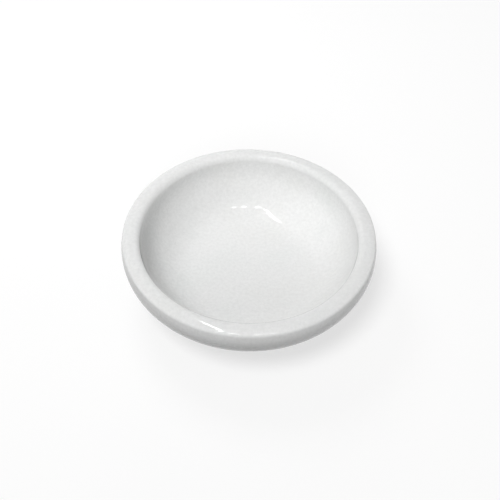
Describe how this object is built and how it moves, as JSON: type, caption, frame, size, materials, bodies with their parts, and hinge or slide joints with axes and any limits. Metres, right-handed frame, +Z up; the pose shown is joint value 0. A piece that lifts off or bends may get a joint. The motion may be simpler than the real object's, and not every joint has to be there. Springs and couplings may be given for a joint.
{
  "type": "soy sauce dish",
  "caption": "Small round porcelain soy sauce dish with a heavy rounded lip, a deep curved well with a flat floor, and a bare foot ring.",
  "frame": {"origin": "centre of the foot ring's resting face, on the table", "axes": "+Z up along the dish's axis of revolution; +X and +Y lie in the table plane"},
  "size_m": [0.09, 0.09, 0.025],
  "materials": {
    "bare_porcelain": "matte unglazed fired clay",
    "white_glaze": "glossy white glaze"
  },
  "bodies": {
    "root": {"porcelain_body": "bare_porcelain", "glaze_coat": "white_glaze", "base_glaze": "white_glaze"}
  },
  "joints": []
}
